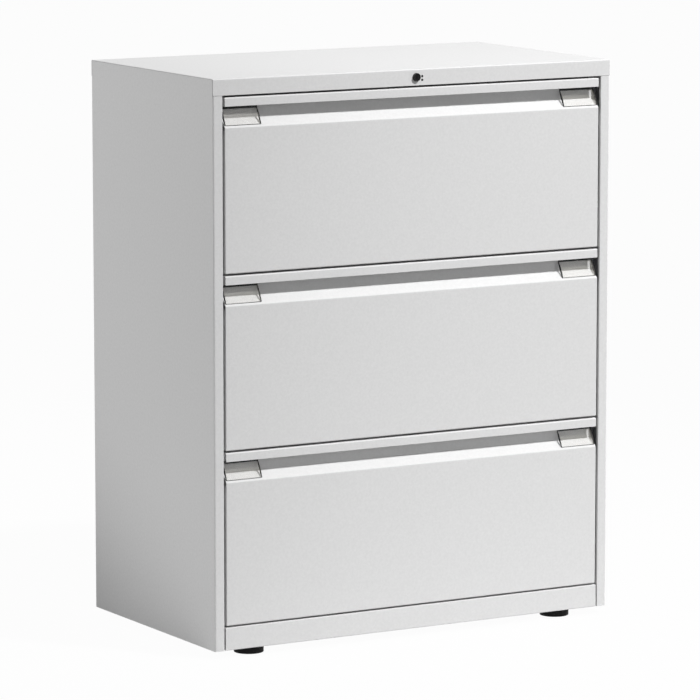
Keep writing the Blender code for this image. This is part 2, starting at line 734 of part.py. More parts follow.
# Carcass
piece("side_panel_left", side_panel(-1), POWDER_COAT)
piece("side_panel_right", side_panel(1), POWDER_COAT)
piece("top_panel", top_panel(), POWDER_COAT)
piece("back_panel", back_panel(), POWDER_COAT)
piece("bottom_panel", bottom_panel(), POWDER_COAT)
piece("front_plinth", front_plinth(), POWDER_COAT)
for side, hand in ((-1, "left"), (1, "right")):
    piece(f"base_rail_{hand}", base_rail(side), ZINC_STEEL)
    front_upright = FRONT_Y + UPRIGHT_FRONT_SETBACK
    rear_upright = BACK_Y - UPRIGHT_REAR_SETBACK - UPRIGHT_WIDTH
    piece(f"slide_upright_front_{hand}", slide_upright(side, front_upright), ZINC_STEEL)
    piece(f"slide_upright_rear_{hand}", slide_upright(side, rear_upright), ZINC_STEEL)

# Levelling feet, each turning on its own stud
foot_mesh = foot()
for end, place in ((-1, "front"), (1, "rear")):
    for side, hand in ((-1, "left"), (1, "right")):
        piece(f"foot_{place}_{hand}", foot_mesh, FOOT_PLASTIC, (side * FOOT_X, end * FOOT_Y, 0))

# Drawers with their slides, each on an empty at the foot of its front
front_mesh = drawer_front()
tray_mesh = tray()
bar_front_mesh = file_bar(TRAY_FRONT + FILE_BAR_INSET)
bar_rear_mesh = file_bar(TRAY_REAR - FILE_BAR_INSET - FILE_BAR_THICKNESS)
sides = []
for side, hand in ((-1, "left"), (1, "right")):
    sides.append((hand, label_holder(side), slide_members(side)))
for index, drawer in enumerate(DRAWER_NAMES):
    place = (0, FRONT_Y, drawer_bottom(index))
    carriage = hub(f"drawer_{drawer}_path", place)
    runner = hub(f"slide_middle_{drawer}_path", place)
    piece(f"drawer_front_{drawer}", front_mesh, POWDER_COAT, parent=carriage)
    piece(f"drawer_tray_{drawer}", tray_mesh, TRAY_COAT, parent=carriage)
    piece(f"file_bar_front_{drawer}", bar_front_mesh, ZINC_STEEL, parent=carriage)
    piece(f"file_bar_rear_{drawer}", bar_rear_mesh, ZINC_STEEL, parent=carriage)
    for hand, holder_mesh, (rail_mesh, middle_mesh, inner_mesh) in sides:
        piece(f"label_holder_{drawer}_{hand}", holder_mesh, HOLDER_PLASTIC, parent=carriage)
        piece(f"slide_inner_{drawer}_{hand}", inner_mesh, ZINC_STEEL, parent=carriage)
        piece(f"slide_middle_{drawer}_{hand}", middle_mesh, ZINC_STEEL, parent=runner)
        piece(f"slide_rail_{drawer}_{hand}", rail_mesh, ZINC_STEEL, place)

# Lock: the plug and cam turn about the middle of the housing
lock_axis = (0, FRONT_Y, LOCK_Z)
piece("lock_housing", lock_housing(), LOCK_NICKEL, lock_axis)
piece("lock_plug", lock_plug(), LOCK_NICKEL, lock_axis)
piece("lock_cam", lock_cam(), ZINC_STEEL, lock_axis)
piece("lock_link", lock_link(), ZINC_STEEL)
piece("lock_bar", lock_bar(), ZINC_STEEL)
piece("lock_link_guide", lock_link_guide(), GUIDE_NYLON)
piece("lock_bar_guide_lower", lock_bar_guide(0), GUIDE_NYLON)
piece("lock_bar_guide_upper", lock_bar_guide(len(DRAWER_NAMES) - 1), GUIDE_NYLON)
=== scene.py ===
"""Looks of a three-drawer lateral filing cabinet: folded sheet steel under a pale grey powder coat."""

import json
import math

import bmesh
import bpy
from mathutils import Matrix, Vector


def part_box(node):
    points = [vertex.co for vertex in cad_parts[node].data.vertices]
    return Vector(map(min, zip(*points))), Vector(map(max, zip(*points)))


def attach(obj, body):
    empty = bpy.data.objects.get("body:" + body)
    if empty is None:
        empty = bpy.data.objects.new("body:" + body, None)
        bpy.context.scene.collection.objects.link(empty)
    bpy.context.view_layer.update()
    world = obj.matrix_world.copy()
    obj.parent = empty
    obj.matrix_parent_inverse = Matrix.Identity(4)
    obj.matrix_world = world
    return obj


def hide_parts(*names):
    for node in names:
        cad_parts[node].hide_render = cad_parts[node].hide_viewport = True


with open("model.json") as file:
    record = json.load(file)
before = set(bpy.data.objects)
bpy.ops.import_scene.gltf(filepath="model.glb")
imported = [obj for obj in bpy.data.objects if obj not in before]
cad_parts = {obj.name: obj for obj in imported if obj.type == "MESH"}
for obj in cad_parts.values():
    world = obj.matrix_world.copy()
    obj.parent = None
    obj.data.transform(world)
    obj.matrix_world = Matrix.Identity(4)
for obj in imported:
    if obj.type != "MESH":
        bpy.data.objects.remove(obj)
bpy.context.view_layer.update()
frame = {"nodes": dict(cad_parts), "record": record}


# Side panels
# Each side is one sheet of 1 mm steel, folded round into the front stile with a short return and
# into a flange at the rear. Above the stile the sheet runs on flat, up under the lid.
SHEET = 0.0010
EDGE_BREAK = 0.0002
NOSE_STEPS = 4
STILE_WIDTH = 0.0185
STILE_RETURN = 0.005
STILE_EDGE_RADIUS = 0.0012
STILE_CORNER_RADIUS = 0.003
REAR_CORNER_RADIUS = 0.002
REAR_FLANGE = 0.020
STILE_SEAM = 0.0007
APRON_SEAM = 0.0012
SKIN_OVERLAP = 0.010
FOLD_STEPS = 6
SMOOTH_ANGLE = math.radians(40)
FLAT_FACE_WEIGHT = 100
MOTTLE_RANGE = (0.3, 0.7)
COAT_GREY = (0.72, 0.72, 0.72)


def shader_node(tree, kind, **values):
    """A new node with some of its inputs set by name."""
    node = tree.nodes.new(kind)
    for name, value in values.items():
        node.inputs[name].default_value = value
    return node


def new_material(name, roughness, metallic=0.0):
    """A Principled material, with the node tree, the shader and the object coordinates to build on."""
    material = bpy.data.materials.new(name)
    material.use_nodes = True
    tree = material.node_tree
    shader = tree.nodes["Principled BSDF"]
    shader.inputs["Roughness"].default_value = roughness
    shader.inputs["Metallic"].default_value = metallic
    place = shader_node(tree, "ShaderNodeTexCoord").outputs["Object"]
    return material, tree, shader, place


def mottled(tree, source, colour, spread):
    """The colour, a little darker and lighter as a texture's value goes from 0 to 1."""
    ramp = tree.nodes.new("ShaderNodeValToRGB")
    for element, position, share in zip(ramp.color_ramp.elements, MOTTLE_RANGE, (1 - spread, 1 + spread)):
        element.position = position
        element.color = (*(part * share for part in colour), 1.0)
    tree.links.new(source, ramp.inputs["Fac"])
    return ramp.outputs["Color"]


def powder_coat(name, colour):
    """Semi-matt powder coat: a fine orange peel in its surface and a faint mottle in its colour."""
    material, tree, shader, place = new_material(name, roughness=0.55)
    shader.inputs["Specular IOR Level"].default_value = 0.4
    peel = shader_node(tree, "ShaderNodeTexNoise", Scale=420.0, Detail=2.0, Roughness=0.55)
    grain = shader_node(tree, "ShaderNodeTexNoise", Scale=210.0, Detail=3.0, Roughness=0.6)
    bump = shader_node(tree, "ShaderNodeBump", Strength=0.35, Distance=0.0003)
    for texture in (peel, grain):
        tree.links.new(place, texture.inputs["Vector"])
    tinted = mottled(tree, grain.outputs["Fac"], colour, spread=0.03)
    tree.links.new(tinted, shader.inputs["Base Color"])
    tree.links.new(peel.outputs["Fac"], bump.inputs["Height"])
    tree.links.new(bump.outputs["Normal"], shader.inputs["Normal"])
    return material


CARCASS_COAT = powder_coat("carcass_powder_coat", COAT_GREY)


def bent(points, radii, steps=FOLD_STEPS):
    """The path through the points, with an arc of the given radius at each inner corner."""
    path = [Vector(points[0])]
    for before, corner, after, radius in zip(points, points[1:], points[2:], radii):
        corner = Vector(corner)
        into = (corner - Vector(before)).normalized()
        out = (Vector(after) - corner).normalized()
        turn = into.angle(out)
        centre = corner + (out - into).normalized() * (radius / math.cos(turn / 2))
        spoke = corner - into * (radius * math.tan(turn / 2)) - centre
        way = 1 if into.x * out.y - into.y * out.x > 0 else -1
        for step in range(steps + 1):
            path.append(centre + Matrix.Rotation(way * turn * step / steps, 2) @ spoke)
    path.append(Vector(points[-1]))
    return path


def moved_left(path, distance):
    """The path moved to its left by the distance, with mitred corners."""
    lefts = []
    for start, end in zip(path, path[1:]):
        along = (end - start).normalized()
        lefts.append(Vector((-along.y, along.x)))
    moved = [path[0] + lefts[0] * distance]
    for corner, before, after in zip(path[1:], lefts, lefts[1:]):
        middle = (before + after).normalized()
        moved.append(corner + middle * (distance / middle.dot(after)))
    moved.append(path[-1] + lefts[-1] * distance)
    return moved


def sheet_section(path, thickness, outer, inner):
    """Outline of a folded sheet on the left of its path, drawn in on its outer and inner faces."""
    path = [Vector(point) for point in path]
    path[0] = path[0] + (path[1] - path[0]).normalized() * outer
    path[-1] = path[-1] + (path[-2] - path[-1]).normalized() * outer
    return moved_left(path, outer) + moved_left(path, thickness - inner)[::-1]


def placed(axis, along, flat):
    """A point from its distance along an axis and its two other coordinates, in X, Y, Z order."""
    if axis == "X":
        return (along, flat[0], flat[1])
    if axis == "Y":
        return (flat[0], along, flat[1])
    return (flat[0], flat[1], along)


def lofted(rings, closed=False):
    """Mesh through rings of points, capped at its two ends or closed into a ring of rings."""
    shape = bmesh.new()
    loops = [[shape.verts.new(point) for point in ring] for ring in rings]
    pairs = list(zip(loops, loops[1:]))
    if closed:
        pairs.append((loops[-1], loops[0]))
    else:
        shape.faces.new(loops[0])
        shape.faces.new(loops[-1])
    for near, far in pairs:
        for index in range(len(near)):
            after = (index + 1) % len(near)
            shape.faces.new((near[index], near[after], far[after], far[index]))
    bmesh.ops.recalc_face_normals(shape, faces=shape.faces)
    mesh = bpy.data.meshes.new("shape")
    shape.to_mesh(mesh)
    shape.free()
    return mesh


def folded(path, thickness, axis, start, end, nose=0.0):
    """Sheet folded along a path and swept along an axis, with its two ends broken or rounded over."""
    finish = [(0.0, EDGE_BREAK, EDGE_BREAK), (EDGE_BREAK, 0.0, 0.0)]
    if nose:
        finish = []
        for step in range(NOSE_STEPS + 1):
            angle = math.pi / 2 * step / NOSE_STEPS
            finish.append((nose * (1 - math.cos(angle)), nose * (1 - math.sin(angle)), 0.0))
    stations = [(start + inward, outer, inner) for inward, outer, inner in finish]
    stations += [(end - inward, outer, inner) for inward, outer, inner in reversed(finish)]
    rings = []
    for along, outer, inner in stations:
        rings.append([placed(axis, along, point) for point in sheet_section(path, thickness, outer, inner)])
    return lofted(rings)


def with_modifier(mesh, kind, **settings):
    """The mesh after one modifier."""
    helper = bpy.data.objects.new("helper", mesh)
    bpy.context.scene.collection.objects.link(helper)
    modifier = helper.modifiers.new(kind, kind)
    for name, value in settings.items():
        setattr(modifier, name, value)
    graph = bpy.context.evaluated_depsgraph_get()
    result = bpy.data.meshes.new_from_object(helper.evaluated_get(graph))
    bpy.data.objects.remove(helper, do_unlink=True)
    return result


def combined(body, tool, operation):
    """The body's mesh after a Boolean with the tool's mesh."""
    cutter = bpy.data.objects.new("cutter", tool)
    bpy.context.scene.collection.objects.link(cutter)
    result = with_modifier(body, "BOOLEAN", operation=operation, solver="EXACT", object=cutter)
    bpy.data.objects.remove(cutter, do_unlink=True)
    return result


def mirrored(mesh):
    """A copy of the mesh on the other side of the cabinet."""
    copy = mesh.copy()
    copy.transform(Matrix.Scale(-1, 4, (1, 0, 0)))
    copy.flip_normals()
    return copy


body_of_node = {}
for body_name, members in frame["record"]["behaviour"]["bodies"].items():
    for member in members:
        body_of_node[member] = body_name


def shaded(mesh):
    """The mesh with smooth folds, sharp corners, and flat faces that stay flat in the light."""
    mesh.shade_smooth()
    mesh.set_sharp_from_angle(angle=SMOOTH_ANGLE)
    return with_modifier(mesh, "WEIGHTED_NORMAL", weight=FLAT_FACE_WEIGHT, keep_sharp=True)


def fitted(name, mesh, material, node):
    """A finished piece in a CAD node's place, on the node's body."""
    if not mesh.materials:
        mesh.materials.append(material)
    thing = bpy.data.objects.new(name, shaded(mesh))
    bpy.context.scene.collection.objects.link(thing)
    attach(thing, body_of_node[node])
    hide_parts(node)


side_low, side_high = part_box("side_panel_right")
lid_low, lid_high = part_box("top_panel")
half_width = side_high.x
front_y = side_low.y
back_y = side_high.y
carcass_foot = side_low.z
rail_bottom = lid_low.z
opening_x = half_width - STILE_WIDTH
stile_corners = [
    (opening_x, front_y + STILE_RETURN),
    (opening_x, front_y),
    (half_width, front_y),
    (half_width, back_y),
    (half_width - REAR_FLANGE, back_y),
]
side_radii = (STILE_EDGE_RADIUS, STILE_CORNER_RADIUS, REAR_CORNER_RADIUS)
stile_top = rail_bottom - STILE_SEAM
side_fold = folded(bent(stile_corners, side_radii), SHEET, "Z", carcass_foot, stile_top)
skin_path = [
    Vector((half_width, front_y + SHEET + APRON_SEAM)),
    Vector((half_width, back_y - SHEET - APRON_SEAM)),
]
side_skin = folded(skin_path, SHEET, "Z", stile_top - SKIN_OVERLAP, side_high.z)
side_mesh = combined(side_fold, side_skin, "UNION")
fitted("side_sheet_left", mirrored(side_mesh), CARCASS_COAT, "side_panel_left")
fitted("side_sheet_right", side_mesh, CARCASS_COAT, "side_panel_right")


# Back and bottom panels
# The back is a flat sheet set inside the rear flanges. The bottom is a shallow pan turned down all
# round. Both are of the same coated steel, riveted and spot-welded to the sides.
RIVET_RADIUS = 0.0032
RIVET_HEIGHT = 0.0012
RIVET_CROWN = 0.6
RIVET_SIDES = 16
RIVET_PITCH = 0.148
RIVET_COUNT = 7
RIVET_FOOT = 0.050
MERGE_DISTANCE = 0.00001
FLAT_ANGLE = math.radians(1)
CORNER_ANGLE = math.radians(50)
EASE_SEGMENTS = 2
ROW_INPUTS = {"Count": "Int", "First": "Vector", "Step": "Vector", "Turn": "Rotation", "Coat": "Material"}


def eased(node, width, segments=EASE_SEGMENTS):
    """A copy of a CAD node's mesh with its corners rounded off by the width."""
    mesh = frame["nodes"][node].data.copy()
    mesh.materials.clear()
    shape = bmesh.new()
    shape.from_mesh(mesh)
    bmesh.ops.remove_doubles(shape, verts=shape.verts, dist=MERGE_DISTANCE)
    bmesh.ops.dissolve_limit(shape, angle_limit=FLAT_ANGLE, verts=shape.verts, edges=shape.edges)
    shape.to_mesh(mesh)
    shape.free()
    return with_modifier(
        mesh,
        "BEVEL",
        width=width,
        segments=segments,
        limit_method="ANGLE",
        angle_limit=CORNER_ANGLE,
    )


def node_tree(name, inputs):
    """A Geometry Nodes tree with a geometry in and out, and the given named inputs."""
    tree = bpy.data.node_groups.new(name, "GeometryNodeTree")
    tree.interface.new_socket("Geometry", in_out="INPUT", socket_type="NodeSocketGeometry")
    for label, kind in inputs.items():
        tree.interface.new_socket(label, in_out="INPUT", socket_type=f"NodeSocket{kind}")
    tree.interface.new_socket("Geometry", in_out="OUTPUT", socket_type="NodeSocketGeometry")
    start = tree.nodes.new("NodeGroupInput")
    end = tree.nodes.new("NodeGroupOutput")
    return tree, start, end


def grown(mesh, tree, values):
    """The mesh after a Geometry Nodes tree, with the tree's named inputs set."""
    helper = bpy.data.objects.new("helper", mesh)
    bpy.context.scene.collection.objects.link(helper)
    modifier = helper.modifiers.new("nodes", "NODES")
    modifier.node_group = tree
    for item in tree.interface.items_tree:
        if item.in_out == "INPUT" and item.name in values:
            modifier[item.identifier] = values[item.name]
    graph = bpy.context.evaluated_depsgraph_get()
    result = bpy.data.meshes.new_from_object(helper.evaluated_get(graph))
    helper.modifiers.remove(modifier)
    bpy.data.objects.remove(helper, do_unlink=True)
    return result


def row_of(tree, start, shape):
    """Copies of a shape at equal steps along a line, turned as the tree's inputs say."""
    line = tree.nodes.new("GeometryNodeMeshLine")
    copies = tree.nodes.new("GeometryNodeInstanceOnPoints")
    solid = tree.nodes.new("GeometryNodeRealizeInstances")
    tree.links.new(start.outputs["Count"], line.inputs["Count"])
    tree.links.new(start.outputs["First"], line.inputs["Start Location"])
    tree.links.new(start.outputs["Step"], line.inputs["Offset"])
    tree.links.new(line.outputs["Mesh"], copies.inputs["Points"])
    tree.links.new(shape, copies.inputs["Instance"])
    tree.links.new(start.outputs["Turn"], copies.inputs["Rotation"])
    tree.links.new(copies.outputs["Instances"], solid.inputs["Geometry"])
    return solid.outputs["Geometry"]


def scaled(tree, source, share):
    """A value of the tree times a fixed share."""
    product = tree.nodes.new("ShaderNodeMath")
    product.operation = "MULTIPLY"
    product.inputs[1].default_value = share
    tree.links.new(source, product.inputs[0])
    return product.outputs["Value"]


def rivet_tree():
    """Row of low domed rivet heads."""
    tree, start, end = node_tree("rivet_row", {**ROW_INPUTS, "Radius": "Float", "Height": "Float"})
    head = shader_node(tree, "GeometryNodeMeshCone", Vertices=RIVET_SIDES)
    coat = tree.nodes.new("GeometryNodeSetMaterial")
    tree.links.new(start.outputs["Radius"], head.inputs["Radius Bottom"])
    tree.links.new(scaled(tree, start.outputs["Radius"], RIVET_CROWN), head.inputs["Radius Top"])
    tree.links.new(start.outputs["Height"], head.inputs["Depth"])
    tree.links.new(row_of(tree, start, head.outputs["Mesh"]), coat.inputs["Geometry"])
    tree.links.new(start.outputs["Coat"], coat.inputs["Material"])
    tree.links.new(coat.outputs["Geometry"], end.inputs["Geometry"])
    return tree


for panel in ("back", "bottom"):
    node = f"{panel}_panel"
    fitted(f"{panel}_sheet", eased(node, EDGE_BREAK), CARCASS_COAT, node)


def added(name, mesh, body):
    """A finished piece that stands for no CAD node, on a body."""
    thing = bpy.data.objects.new(name, shaded(mesh))
    bpy.context.scene.collection.objects.link(thing)
    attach(thing, body)


rivets = rivet_tree()
for side, hand in ((-1, "left"), (1, "right")):
    rivet_mesh = grown(bpy.data.meshes.new("rivets"), rivets, {
        "Count": RIVET_COUNT,
        "First": (side * (half_width - REAR_FLANGE / 2), back_y, RIVET_FOOT),
        "Step": (0.0, 0.0, RIVET_PITCH),
        "Turn": (-math.pi / 2, 0.0, 0.0),
        "Coat": CARCASS_COAT,
        "Radius": RIVET_RADIUS,
        "Height": RIVET_HEIGHT,
    })
    added(f"back_rivets_{hand}", rivet_mesh, "carcass")


# Front plinth
# A kick panel of the same coated sheet, folded back along its top and bottom, welded in between
# the two stiles with a fine rounded joint at each end.
PLINTH_FOLD_RADIUS = 0.0015
PLINTH_FOLD_DEPTH = 0.012
PLINTH_END_GAP = 0.0016
SHEET_NOSE = 0.0009

plinth_low, plinth_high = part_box("front_plinth")
plinth_corners = [
    (front_y + PLINTH_FOLD_DEPTH, plinth_high.z),
    (front_y, plinth_high.z),
    (front_y, plinth_low.z),
    (front_y + PLINTH_FOLD_DEPTH, plinth_low.z),
]
plinth_path = bent(plinth_corners, (PLINTH_FOLD_RADIUS, PLINTH_FOLD_RADIUS))
plinth_end = plinth_high.x - PLINTH_END_GAP
plinth_mesh = folded(plinth_path, SHEET, "X", -plinth_end, plinth_end, SHEET_NOSE)
fitted("plinth_sheet", plinth_mesh, CARCASS_COAT, "front_plinth")


# Base rails, slide uprights and slide rails
# Zinc-plated steel channels: two under the bottom panel that carry the feet, four inside the
# sides, and the fixed rails of the slides, hooked into the slots of those four.
ZINC_GREY = (0.62, 0.63, 0.65)
CHANNEL_EASE = 0.0003
UPRIGHT_SLOT = (0.004, 0.014)
UPRIGHT_SLOT_PITCH = 0.0254
UPRIGHT_SLOT_COUNT = 34
UPRIGHT_SLOT_FOOT = 0.080
RUNNER_HOLE = 0.006
RUNNER_HOLE_PITCH = 0.064
RUNNER_HOLE_COUNT = 5
PUNCH_DEPTH = 0.008
PUNCH_STEPS = 6
ROUND_END_SHARE = 0.499
HANDS = ("left", "right")
ENDS = ("front", "rear")
LEVELS = ("lower", "middle", "upper")


def zinc_plate(name):
    """Bright zinc plate: faint cloudy crystals and fine rolling lines."""
    material, tree, shader, place = new_material(name, roughness=0.35, metallic=1.0)
    crystals = shader_node(tree, "ShaderNodeTexVoronoi", Scale=160.0)
    lines = shader_node(tree, "ShaderNodeTexNoise", Scale=900.0, Detail=2.0)
    stretch = shader_node(tree, "ShaderNodeMapping", Scale=(1.0, 0.06, 1.0))
    rough = shader_node(tree, "ShaderNodeMapRange", **{"To Min": 0.28, "To Max": 0.46})
    bump = shader_node(tree, "ShaderNodeBump", Strength=0.15, Distance=0.0001)
    tree.links.new(place, crystals.inputs["Vector"])
    tree.links.new(place, stretch.inputs["Vector"])
    tree.links.new(stretch.outputs["Vector"], lines.inputs["Vector"])
    tinted = mottled(tree, crystals.outputs["Color"], ZINC_GREY, spread=0.07)
    tree.links.new(tinted, shader.inputs["Base Color"])
    tree.links.new(lines.outputs["Fac"], rough.inputs["Value"])
    tree.links.new(rough.outputs["Result"], shader.inputs["Roughness"])
    tree.links.new(lines.outputs["Fac"], bump.inputs["Height"])
    tree.links.new(bump.outputs["Normal"], shader.inputs["Normal"])
    return material


def punch_tree():
    """Row of round-ended slots cut through a sheet."""
    sizes = {"Width": "Float", "Length": "Float", "Depth": "Float"}
    tree, start, end = node_tree("punched_row", {**ROW_INPUTS, **sizes})
    outline = tree.nodes.new("GeometryNodeCurvePrimitiveQuadrilateral")
    rounded = tree.nodes.new("GeometryNodeFilletCurve")
    rounded.mode = "POLY"
    rounded.inputs["Count"].default_value = PUNCH_STEPS
    face = tree.nodes.new("GeometryNodeFillCurve")
    face.mode = "NGONS"
    punch = shader_node(tree, "GeometryNodeExtrudeMesh", Individual=False)
    foot = tree.nodes.new("GeometryNodeFlipFaces")
    both = tree.nodes.new("GeometryNodeJoinGeometry")
    closed = shader_node(tree, "GeometryNodeMergeByDistance", Distance=MERGE_DISTANCE)
    centred = tree.nodes.new("GeometryNodeTransform")
    drop = tree.nodes.new("ShaderNodeCombineXYZ")
    cut = tree.nodes.new("GeometryNodeMeshBoolean")
    cut.operation = "DIFFERENCE"
    cut.solver = "EXACT"
    coat = tree.nodes.new("GeometryNodeSetMaterial")
    tree.links.new(start.outputs["Width"], outline.inputs["Width"])
    tree.links.new(start.outputs["Length"], outline.inputs["Height"])
    tree.links.new(scaled(tree, start.outputs["Width"], ROUND_END_SHARE), rounded.inputs["Radius"])
    tree.links.new(outline.outputs["Curve"], rounded.inputs["Curve"])
    tree.links.new(rounded.outputs["Curve"], face.inputs["Curve"])
    tree.links.new(face.outputs["Mesh"], punch.inputs["Mesh"])
    tree.links.new(start.outputs["Depth"], punch.inputs["Offset Scale"])
    tree.links.new(face.outputs["Mesh"], foot.inputs["Mesh"])
    tree.links.new(punch.outputs["Mesh"], both.inputs["Geometry"])
    tree.links.new(foot.outputs["Mesh"], both.inputs["Geometry"])
    tree.links.new(both.outputs["Geometry"], closed.inputs["Geometry"])
    tree.links.new(scaled(tree, start.outputs["Depth"], -0.5), drop.inputs["Z"])
    tree.links.new(closed.outputs["Geometry"], centred.inputs["Geometry"])
    tree.links.new(drop.outputs["Vector"], centred.inputs["Translation"])
    tree.links.new(start.outputs["Geometry"], cut.inputs["Mesh 1"])
    tree.links.new(row_of(tree, start, centred.outputs["Geometry"]), cut.inputs["Mesh 2"])
    tree.links.new(cut.outputs["Mesh"], coat.inputs["Geometry"])
    tree.links.new(start.outputs["Coat"], coat.inputs["Material"])
    tree.links.new(coat.outputs["Geometry"], end.inputs["Geometry"])
    return tree


ZINC_PLATE = zinc_plate("zinc_plate")
punched_row = punch_tree()


def runner(node):
    """A slide channel with a row of round fixing holes through its web."""
    low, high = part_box(node)
    middle = (low + high) / 2
    first = middle.y - RUNNER_HOLE_PITCH * (RUNNER_HOLE_COUNT - 1) / 2
    return grown(eased(node, CHANNEL_EASE), punched_row, {
        "Count": RUNNER_HOLE_COUNT,
        "First": (middle.x, first, middle.z),
        "Step": (0.0, RUNNER_HOLE_PITCH, 0.0),
        "Turn": (0.0, math.pi / 2, 0.0),
        "Coat": ZINC_PLATE,
        "Width": RUNNER_HOLE,
        "Length": RUNNER_HOLE,
        "Depth": (high.x - low.x) * 2,
    })


for hand in HANDS:
    rail = f"base_rail_{hand}"
    fitted(f"base_channel_{hand}", eased(rail, CHANNEL_EASE), ZINC_PLATE, rail)
    for end in ENDS:
        upright = f"slide_upright_{end}_{hand}"
        upright_low, upright_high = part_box(upright)
        web_x = upright_low.x if hand == "right" else upright_high.x
        upright_mesh = grown(eased(upright, CHANNEL_EASE), punched_row, {
            "Count": UPRIGHT_SLOT_COUNT,
            "First": (web_x, (upright_low.y + upright_high.y) / 2, UPRIGHT_SLOT_FOOT),
            "Step": (0.0, 0.0, UPRIGHT_SLOT_PITCH),
            "Turn": (math.pi / 2, 0.0, math.pi / 2),
            "Coat": ZINC_PLATE,
            "Width": UPRIGHT_SLOT[0],
            "Length": UPRIGHT_SLOT[1],
            "Depth": PUNCH_DEPTH,
        })
        fitted(f"upright_channel_{end}_{hand}", upright_mesh, ZINC_PLATE, upright)
    for level in LEVELS:
        rail = f"slide_rail_{level}_{hand}"
        fitted(f"fixed_rail_{level}_{hand}", runner(rail), ZINC_PLATE, rail)


# Levelling feet
# Each is a round glide of black moulded plastic, with a soft rim, on a plated steel stud that
# screws up into the base rail.
FOOT_BLACK = (0.006, 0.006, 0.006)
FOOT_RIM_RADIUS = 0.0006
FOOT_TOP_RADIUS = 0.0015
ROUND_SEGMENTS = 64
STUD_RADIUS = 0.005
STUD_TIP = 0.0008
PAD_CAP_RADIUS = 0.002
STUD_CAP_RADIUS = 0.001
FOOT_SEAT_GAP = 0.0003


def moulded_plastic(name, colour, roughness, gloss=0.5):
    """Moulded plastic with a faint spark-eroded grain."""
    material, tree, shader, place = new_material(name, roughness)
    shader.inputs["Specular IOR Level"].default_value = gloss
    grain = shader_node(tree, "ShaderNodeTexNoise", Scale=1200.0, Detail=2.0)
    bump = shader_node(tree, "ShaderNodeBump", Strength=0.2, Distance=0.0001)
    tree.links.new(place, grain.inputs["Vector"])
    tinted = mottled(tree, grain.outputs["Fac"], colour, spread=0.08)
    tree.links.new(tinted, shader.inputs["Base Color"])
    tree.links.new(grain.outputs["Fac"], bump.inputs["Height"])
    tree.links.new(bump.outputs["Normal"], shader.inputs["Normal"])
    return material


def turned(profile, axis, centre, closed=False):
    """Mesh turned about an axis through the centre, from (radius, distance along) points."""
    rings = []
    for radius, along in profile:
        ring = []
        for step in range(ROUND_SEGMENTS):
            angle = 2 * math.pi * step / ROUND_SEGMENTS
            flat = (radius * math.cos(angle), radius * math.sin(angle))
            ring.append(Vector(placed(axis, along, flat)) + Vector(centre))
        rings.append(ring)
    return lofted(rings, closed)


FOOT_PLASTIC = moulded_plastic("foot_plastic", FOOT_BLACK, roughness=0.6, gloss=0.15)
for end in ENDS:
    for hand in HANDS:
        foot = f"foot_{end}_{hand}"
        foot_low, foot_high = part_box(foot)
        pad_radius = (foot_high.x - foot_low.x) / 2
        pad_top = carcass_foot - FOOT_SEAT_GAP
        foot_corners = [
            (PAD_CAP_RADIUS, 0),
            (pad_radius, 0),
            (pad_radius, pad_top),
            (STUD_RADIUS, pad_top),
            (STUD_RADIUS, foot_high.z),
            (STUD_CAP_RADIUS, foot_high.z),
        ]
        foot_profile = bent(foot_corners, (FOOT_RIM_RADIUS, FOOT_TOP_RADIUS, STUD_TIP, STUD_TIP))
        middle = ((foot_low.x + foot_high.x) / 2, (foot_low.y + foot_high.y) / 2, 0)
        foot_mesh = turned(foot_profile, "Z", middle)
        foot_mesh.materials.append(FOOT_PLASTIC)
        foot_mesh.materials.append(ZINC_PLATE)
        for face in foot_mesh.polygons:
            face.material_index = 1 if face.center.z > pad_top + STUD_TIP else 0
        fitted(f"levelling_foot_{end}_{hand}", foot_mesh, FOOT_PLASTIC, foot)


# Lid
# One coated sheet turned down at the front and back. The front edge is the top rail: it is bored
# for the lock and for two small black plugs beside it, and its ends meet the sides at a fine seam.
LID_FOLD_RADIUS = 0.0025
LOCK_RADIUS = 0.007
LOCK_HOLE_CLEARANCE = 0.0003
DOT_RADIUS = 0.0022
DOT_OFFSET = 0.0122
DOT_DROP = 0.002
DOT_SPACING = 0.0063
DOT_FIT = 0.0001
DOT_DEPTH = 0.0015
DOT_EASE = 0.0003
PIN_CAP_RADIUS = 0.0002
CUT_DEPTH = 0.010


def joined(parts):
    """One mesh of several meshes, each with its own material."""
    shape = bmesh.new()
    for index, (mesh, material) in enumerate(parts):
        known = len(shape.faces)
        shape.from_mesh(mesh)
        shape.faces.ensure_lookup_table()
        for face in shape.faces[known:]:
            face.material_index = index
    result = bpy.data.meshes.new("joined")
    shape.to_mesh(result)
    shape.free()
    for mesh, material in parts:
        result.materials.append(material)
    return result


lid_corners = [
    (back_y, rail_bottom),
    (back_y, lid_high.z),
    (front_y, lid_high.z),
    (front_y, rail_bottom),
]
lid_path = bent(lid_corners, (LID_FOLD_RADIUS, LID_FOLD_RADIUS))
lid_mesh = folded(lid_path, SHEET, "X", lid_low.x, lid_high.x)
housing_low, housing_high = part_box("lock_housing")
lock_z = (housing_low.z + housing_high.z) / 2
holes = [(0, lock_z, LOCK_RADIUS + LOCK_HOLE_CLEARANCE)]
dot_radius = DOT_RADIUS - DOT_FIT
dot_corners = [
    (PIN_CAP_RADIUS, 0),
    (dot_radius, 0),
    (dot_radius, DOT_DEPTH),
    (PIN_CAP_RADIUS, DOT_DEPTH),
]
dot_profile = bent(dot_corners, (DOT_EASE, DOT_EASE))
dot_parts = []
for side in (-1, 1):
    dot_z = lock_z - DOT_DROP + side * DOT_SPACING / 2
    holes.append((DOT_OFFSET, dot_z, DOT_RADIUS))
    dot_parts.append((turned(dot_profile, "Y", (DOT_OFFSET, front_y, dot_z)), FOOT_PLASTIC))
